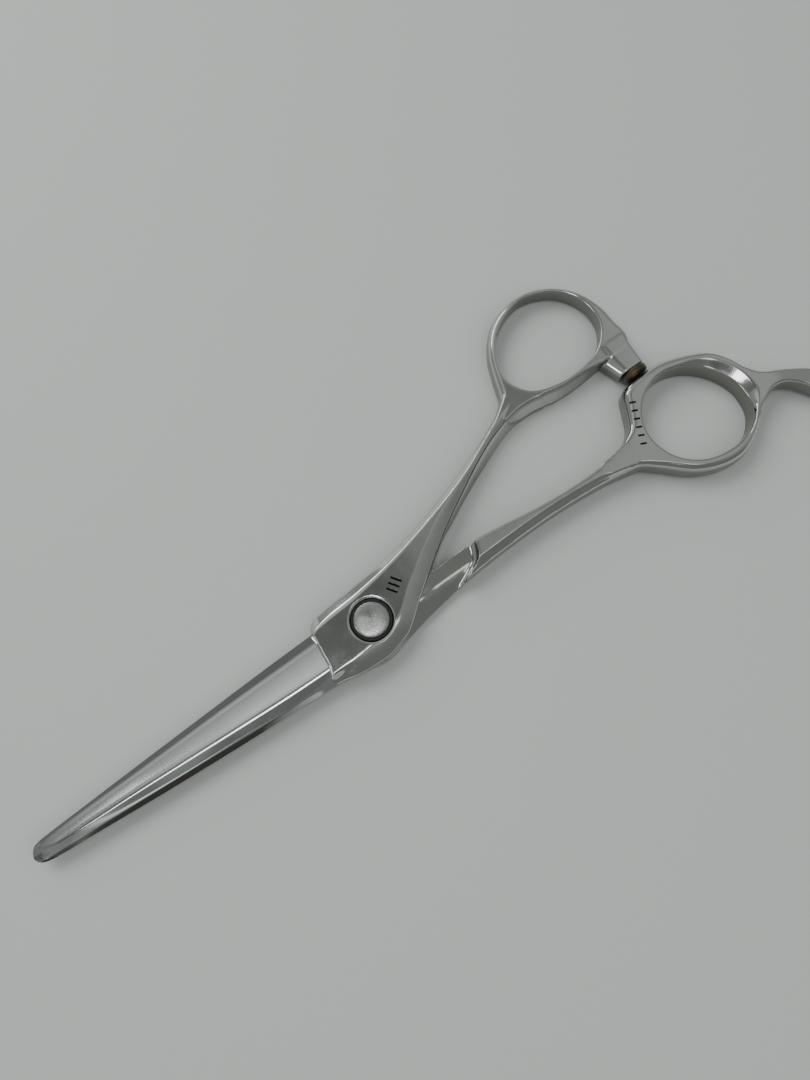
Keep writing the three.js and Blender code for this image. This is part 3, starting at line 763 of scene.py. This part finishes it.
def stamped_ticks(m, centre, angle, pitch, count, half_width, half_length):
    """1 inside a row of short plain strokes, as a stand-in for a stamped marking."""
    shift = m.node("ShaderNodeVectorMath", operation="SUBTRACT")
    shift.inputs[1].default_value = (centre[0] * MM, centre[1] * MM, 0)
    m.link(m.coords, shift.inputs[0])
    turn = m.node("ShaderNodeMapping")
    turn.inputs["Rotation"].default_value = (0, 0, -angle)
    turn.inputs["Scale"].default_value = (1 / MM, 1 / MM, 1 / MM)
    m.link(shift.outputs[0], turn.inputs["Vector"])
    at = m.xyz(turn.outputs[0])
    end, soft = pitch * count / 2, 0.04
    in_row = m.ramp(m.math("ABSOLUTE", at["X"]), end - 0.02, end, 1, 0)
    from_stroke = at["X"]
    if count % 2 == 0:
        from_stroke = m.math("ADD", from_stroke, pitch / 2)
    from_stroke = m.math("WRAP", from_stroke, pitch / 2, -pitch / 2)
    across = m.math("ABSOLUTE", from_stroke)
    across = m.ramp(across, half_width - soft, half_width + soft, 1, 0)
    length = m.math("ABSOLUTE", at["Y"])
    length = m.ramp(length, half_length - soft, half_length + soft, 1, 0)
    return m.math("MULTIPLY", m.math("MULTIPLY", in_row, across), length)


INK = (0.03, 0.03, 0.03)
# colour of steep walls: painted shade, standing in for the shaded floor that they mirror
WALL_STEEL_PAINTED_SHADE = (0.25, 0.246, 0.225)


def forged_steel(name, ticks):
    """Polished forging: fine lengthwise marks, faint waviness, rougher walls darkened with painted
    shade, painted shade on level faces below the riding height, and plain ticks.
    """
    m = Nodes(name, (0.65, 0.66, 0.645), 1.0, 0.2)
    height = m.noise(m.scaled(0.35, 2.6, 2.6, math.radians(-12)), 3.0, 6, 0.7)
    patches = m.noise(m.scaled(1, 1, 1), 0.22, 5, 0.6)
    waves = m.noise(m.scaled(1, 1, 1), 0.35, 2, 0.4)
    level = level_faces(m, 0.2, 0.6)
    mottle = m.ramp(patches, 0.35, 0.7, 0, 1)
    # steep walls take the darker wall colour, which is painted shade
    color = m.blend(level, WALL_STEEL_PAINTED_SHADE, m.blend(mottle, (0.63, 0.64, 0.625), (0.68, 0.685, 0.67)))
    # level faces below the riding height painted darker: painted shade of the riding surface under
    # the other half and of the undersides
    low_down = m.ramp(m.xyz(m.scaled(1, 1, 1))["Z"], RIDE_Z + 0.1, RIDE_Z + 0.5, 1, 0)
    low_level_shade = m.math("MULTIPLY", level_faces(m, 0.95, 0.985), low_down)
    color = m.blend(low_level_shade, color, (0.46, 0.46, 0.435))
    for row in ticks:
        inside = stamped_ticks(m, **row)
        color = m.blend(inside, color, INK)
        height = m.math("SUBTRACT", height, m.math("MULTIPLY", inside, 3.0))
    roughness = m.math("ADD", m.ramp(patches, 0.3, 0.75, 0.07, 0.13), m.ramp(level, 0, 1, 0.14, 0))
    m.set("Base Color", color)
    m.set("Roughness", roughness)
    m.set("Normal", m.bump(height, 0.1, 0.02, m.bump(waves, 0.12, 0.1)))
    return m.material


def blade_steel():
    """Mirror edge band, a half-polished hollow face with transverse grinding marks and a painted
    sheen and highlight, and steep faces and the spine bevel darkened with painted shade.
    """
    polish = (0.66, 0.68, 0.68)
    m = Nodes("blade_steel_ground", polish, 1.0, 0.25)
    grind = m.noise(m.scaled(3.2, 0.25, 0.25, math.radians(8)), 1.6, 6, 0.7)
    patches = m.noise(m.scaled(0.12, 0.3, 0.3), 1.0, 4, 0.6)
    at = m.xyz(m.scaled(1, 1, 1))
    inward = m.math("SUBTRACT", at["Y"], m.math("MULTIPLY", at["X"], 0.0135))
    face = m.ramp(inward, -2.55, -2.15, 0, 1)
    width = m.math("SUBTRACT", 6.2, m.math("MULTIPLY", at["X"], 0.07))
    across = m.math("DIVIDE", m.math("ADD", inward, 2.3), width)
    # painted sheen on the hollow face: lighter towards the ridge, with a painted highlight line
    # just short of it, fading towards the tip; the grinding noise adds a little real tone
    painted_sheen_and_grind = m.math("SUBTRACT", m.ramp(across, 0.02, 0.72, 0, 1), m.ramp(across, 0.75, 1.05, 0, 0.4))
    painted_sheen_and_grind = m.math("MULTIPLY", painted_sheen_and_grind, m.ramp(at["X"], 25, 55, 1, 0))
    painted_sheen_and_grind = m.math("ADD", m.math("MULTIPLY", painted_sheen_and_grind, 0.9), m.ramp(grind, 0.35, 0.65, 0, 0.1))
    face_painted_sheen = m.blend(painted_sheen_and_grind, (0.46, 0.475, 0.475), (0.9, 0.93, 0.93))
    color = m.blend(face, polish, face_painted_sheen)
    # steep faces painted near black: painted shade, for the shaded floor that they mirror
    color = m.blend(level_faces(m, 0.4, 0.65), (0.1, 0.095, 0.085), color)
    # spine bevel painted dark from x 16 mm towards the tip: painted shade
    beyond = m.math("ADD", at["Y"], m.math("MULTIPLY", at["X"], 0.07))
    spine = m.math("MULTIPLY", m.ramp(beyond, 6.05, 6.2, 0, 1), m.ramp(at["X"], 16, 25, 0, 1))
    color = m.blend(spine, color, (0.19, 0.182, 0.165))
    ground = m.math("MULTIPLY", face, m.ramp(across, 0.82, 0.95, 1, 0))
    roughness = m.math("MULTIPLY", ground, 0.1)
    roughness = m.math("ADD", roughness, m.ramp(patches, 0.3, 0.75, 0.08, 0.14))
    m.set("Base Color", color)
    m.set("Roughness", roughness)
    m.set("Normal", m.bump(m.math("MULTIPLY", grind, ground), 0.1, 0.015))
    return m.material


def turned_steel():
    """Lathe-finished steel with rings round the pivot axis."""
    m = Nodes("turned_steel_rings", (0.54, 0.55, 0.535), 1.0, 0.28)
    m.shader.inputs["Anisotropic"].default_value = 0.75
    tangent = m.node("ShaderNodeTangent", direction_type="RADIAL", axis="Z")
    m.set("Tangent", tangent.outputs[0])
    rings = m.node("ShaderNodeTexWave", wave_type="RINGS", rings_direction="Z", Scale=9.0,
                   Distortion=0.6, Detail=3.0)
    m.link(m.scaled(1, 1, 0.02), rings.inputs["Vector"])
    m.set("Normal", m.bump(rings.outputs["Fac"], 0.15, 0.01))
    m.set("Roughness", m.ramp(m.noise(m.scaled(1, 1, 1), 1.4, 5), 0.3, 0.7, 0.2, 0.36))
    return m.material


def plain(name, color, metallic, low, high, scale=1.5):
    """Simple surface with slight mottling in colour and roughness."""
    m = Nodes(name, color, metallic, (low + high) / 2)
    mottle = m.noise(m.scaled(1, 1, 1), scale, 5)
    darker = tuple(0.8 * c for c in color)
    m.set("Roughness", m.ramp(mottle, 0.3, 0.7, low, high))
    m.set("Base Color", m.blend(m.ramp(mottle, 0.35, 0.65, 0, 1), darker, color))
    m.set("Normal", m.bump(mottle, 0.1, 0.02))
    return m.material


def amber_rubber():
    """Dark translucent-looking rubber, cloudy along its length."""
    m = Nodes("amber_rubber", (0.06, 0.042, 0.012), 0.0, 0.35)
    m.shader.inputs["Coat Weight"].default_value = 0.4
    m.shader.inputs["Coat Roughness"].default_value = 0.25
    cloud = m.noise(m.scaled(0.5, 2.2, 0.5), 0.8, 4)
    amber = m.blend(m.ramp(cloud, 0.42, 0.62, 0, 1), (0.006, 0.005, 0.003), (0.062, 0.044, 0.012))
    m.set("Base Color", amber)
    m.set("Roughness", m.ramp(cloud, 0.3, 0.7, 0.28, 0.45))
    return m.material


# ---- scene ----
CAMERA_AT = (9.81, 24.185, 166.865)
CAMERA_LENS = 30
CAMERA_TILT = math.radians(14)          # from straight down
CAMERA_HEADING = math.radians(144.52)   # of the view's right-hand side, from +X


def camera():
    """View from above, tilted towards the thumb ring's side."""
    data = bpy.data.cameras.new("camera")
    data.lens = CAMERA_LENS
    data.sensor_width = 36
    data.clip_start = 0.005
    made = bpy.data.objects.new("camera", data)
    bpy.context.scene.collection.objects.link(made)
    rise = Vector((0, 0, 1))
    right = Vector((math.cos(CAMERA_HEADING), math.sin(CAMERA_HEADING), 0))
    ahead = rise.cross(right)
    forward = ahead * math.sin(CAMERA_TILT) - rise * math.cos(CAMERA_TILT)
    up = ahead * math.cos(CAMERA_TILT) + rise * math.sin(CAMERA_TILT)
    rotation = Matrix((right, up, -forward)).transposed().to_4x4()
    made.matrix_world = Matrix.Translation(Vector(CAMERA_AT) * MM) @ rotation
    bpy.context.scene.camera = made


def area_light(name, at, size, power, towards=(-0.015, -0.005, 0), mirrored=True):
    """Soft rectangular light. The steel mirrors it only if mirrored is set."""
    data = bpy.data.lights.new(name, "AREA")
    data.shape = "RECTANGLE"
    data.size, data.size_y = size
    data.energy = power
    made = bpy.data.objects.new(name, data)
    bpy.context.scene.collection.objects.link(made)
    made.location = at
    direction = Vector(towards) - Vector(at)
    made.rotation_mode = "QUATERNION"
    made.rotation_quaternion = direction.to_track_quat("-Z", "Y")
    made.visible_camera = False
    made.visible_glossy = mirrored


# brightness of the soft room: its level elsewhere, and for each patch the direction, the angles
# in degrees where it is full and where it has faded out, and its level
ROOM_BASE = 0.28
ROOM_PATCHES = [((0, 0.906, 0.42), 30, 52, 0.18),
                ((0.12, 0.3, 0.945), 5, 10, 0.14),
                ((0.3, 0.53, 0.79), 3.5, 7, 1.5),
                ((-0.18, 0.24, 0.955), 3, 6, 1.6),
                ((0.33, 0.1, 0.94), 9, 18, 0.15),
                ((0.75, 0.35, 0.55), 18, 32, 0.36),
                ((0.29, 0.24, 0.92), 3, 7, 0.42),
                ((0, -0.7, 0.72), 13, 28, 0.58),
                ((-0.42, -0.12, 0.9), 7, 15, 0.4),
                ((-0.3, -0.25, 0.92), 3.5, 9, 0.2),
                ((-0.165, -0.2, 0.966), 3, 6.5, 0.28),
                ((-0.02, -0.14, 0.99), 4.5, 9, 0.13),
                ((0.12, -0.16, 0.98), 7, 12, 0.14),
                ((0.26, -0.16, 0.95), 6, 11, 0.16)]


def room_light():
    """World light built up from soft round patches, which the steel mirrors."""
    world = bpy.data.worlds.new("soft_room")
    bpy.context.scene.world = world
    world.use_nodes = True
    tree = world.node_tree
    ray = tree.nodes.new("ShaderNodeTexCoord").outputs["Generated"]
    level = None
    for towards, full, faded, strength in ROOM_PATCHES:
        dot = tree.nodes.new("ShaderNodeVectorMath")
        dot.operation = "DOT_PRODUCT"
        dot.inputs[1].default_value = Vector(towards).normalized()
        tree.links.new(ray, dot.inputs[0])
        fade = tree.nodes.new("ShaderNodeMapRange")
        fade.interpolation_type = "SMOOTHSTEP"
        fade.inputs["From Min"].default_value = math.cos(math.radians(faded))
        fade.inputs["From Max"].default_value = math.cos(math.radians(full))
        tree.links.new(dot.outputs["Value"], fade.inputs["Value"])
        mix = tree.nodes.new("ShaderNodeMix")
        mix.inputs[2].default_value = ROOM_BASE
        mix.inputs[3].default_value = strength
        tree.links.new(fade.outputs["Result"], mix.inputs[0])
        if level:
            tree.links.new(level, mix.inputs[2])
        level = mix.outputs[0]
    background = tree.nodes["Background"]
    background.inputs["Color"].default_value = (0.96, 1.0, 0.975, 1)
    tree.links.new(level, background.inputs["Strength"])


def studio():
    """Lights and the plain floor that the shears lie on."""
    room_light()
    area_light("key", (0.15, -0.5, 0.62), (0.6, 0.5), 5.6, mirrored=False)
    area_light("fill", (-0.2, 0.35, 0.75), (0.9, 0.9), 3.4, mirrored=False)
    area_light("overhead_strip", (0.18, 0.065, 0.88), (0.14, 0.45), 0.9)
    area_light("low_strip", (0.05, -0.85, 0.31), (0.6, 0.1), 1.0)
    area_light("side_window", (1.0, -0.2, 0.14), (0.5, 0.2), 1.2)
    mesh = bpy.data.meshes.new("floor")
    mesh.from_pydata([(-3, -3, 0), (3, -3, 0), (3, 3, 0), (-3, 3, 0)], [], [(0, 1, 2, 3)])
    mesh.materials.append(Nodes("pale_floor", (0.38, 0.4, 0.385), 0.0, 0.55).material)
    floor = bpy.data.objects.new("floor", mesh)
    floor.location = (0, 0, FLOOR_Z * MM)
    bpy.context.scene.collection.objects.link(floor)


def thumb_pieces(steel, blade):
    g = Grid((-74.5, -37.5, 0), (14, 7.8, 5.8), BODY_STEP, 0.8 * BODY_STEP)
    body = carve("thumb_body", g, thumb_body_field(g), "thumb_side", steel)
    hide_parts("thumb_half")
    plain_blade(blade)


def finger_pieces(steel, blade):
    g = Grid((-104.2, -10, 0), (FINGER_END_X + 0.4, 20, 5.8), BODY_STEP, 0.8 * BODY_STEP)
    body = carve("finger_body", g, finger_body_field(g), "finger_side", steel)
    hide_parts("finger_half")
    g = Grid((9, -5, 0.3), (TIP_X, 7, 3), TOOTH_STEP)
    carve("toothed_blade", g, toothed_field(g), "finger_side", blade)


def pivot_pieces(turned, nylon):
    low, top = SCREW_LOW[2], SCREW_HIGH[2]
    dome_z = HEAD_EDGE_Z + 0.12
    dome = [(HEAD_R * math.sin(a), dome_z + (top - dome_z) * math.cos(a) ** 0.8)
            for a in np.linspace(math.pi / 2 * 0.97, 0.06, 14)]
    shoulder_z, head_z = BUSH_BOTTOM_Z + 0.08, CUP_FLOOR_Z + 0.08
    profile = [(0, low), (THREAD_R - 0.25, low), (THREAD_R, low + 0.25), (THREAD_R, shoulder_z),
               (SHOULDER_R, shoulder_z), (SHOULDER_R, head_z), (HEAD_R, head_z),
               (HEAD_R, HEAD_EDGE_Z)] + dome + [(0, top)]
    screw = lathe("screw", profile, "tension_screw", turned)
    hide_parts("pivot_screw")
    hole, inner, outer = SHOULDER_R + RUN, HEAD_R + RUN, CUP_R
    bottom, rim = CUP_FLOOR_Z - CUP_FLOOR_THICKNESS, CUP_HIGH[2]
    cup = [(hole, bottom), (outer, bottom), (outer, rim - 0.08), (outer - 0.08, rim),
           (inner + 0.08, rim), (inner, rim - 0.08), (inner, CUP_FLOOR_Z), (hole, CUP_FLOOR_Z)]
    washer = lathe("black_cup", cup, "thumb_side", nylon)
    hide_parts("cup_washer")


def bumper(material):
    """Stop pad with a rounded striking end and a shallow groove round its middle."""
    low, high = PAD_LOW[1], PAD_HIGH[1]
    mid = (low + high) / 2
    socket_end = low + 1.1
    profile = [(0, socket_end), (STUD_R, socket_end), (STUD_R, low), (PAD_R - 0.25, low),
               (PAD_R - 0.05, low + 0.2), (PAD_R, low + 0.5), (PAD_R, mid - 0.3),
               (PAD_R - 0.1, mid - 0.15), (PAD_R, mid), (PAD_R, high - 0.75),
               (PAD_R - 0.12, high - 0.4), (PAD_R - 0.4, high - 0.12), (PAD_R - 0.8, high),
               (0, high)]
    pad = lathe("stop_pad", profile, "thumb_side", material,
                centre=(PAD_X, 0, PAD_Z), about="y", sharp_deg=40)
    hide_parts("bumper_pad")


def finish_cad_nodes(turned):
    """Materials for the hidden pieces, which stay as CAD solids."""
    finishes = {
        "spring_washer": plain("spring_steel", (0.42, 0.42, 0.41), 1.0, 0.25, 0.4),
        "pivot_bush": plain("sintered_bronze", (0.5, 0.33, 0.14), 1.0, 0.35, 0.55),
        "back_nut": turned,
        "bumper_stud": plain("turned_brass", (0.6, 0.45, 0.18), 1.0, 0.22, 0.4),
    }
    for node, material in finishes.items():
        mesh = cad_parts[node].data
        mesh.materials.clear()
        mesh.materials.append(material)


def build():
    camera()
    studio()
    block_strokes = {"centre": (-7.0, -2.9), "angle": math.radians(35), "pitch": 1.1, "count": 3,
                     "half_width": 0.22, "half_length": 1.1}
    web_strokes = {"centre": (-63.1, -1.5), "angle": math.radians(65), "pitch": 1.7, "count": 6,
                   "half_width": 0.2, "half_length": 0.6}
    thumb_steel = forged_steel("thumb_forging", [block_strokes])
    finger_steel = forged_steel("finger_forging", [web_strokes])
    blade = blade_steel()
    turned = turned_steel()
    thumb_pieces(thumb_steel, blade)
    finger_pieces(finger_steel, blade)
    pivot_pieces(turned, plain("black_nylon", (0.01, 0.01, 0.01), 0.0, 0.45, 0.65))
    bumper(amber_rubber())
    finish_cad_nodes(turned)


build()
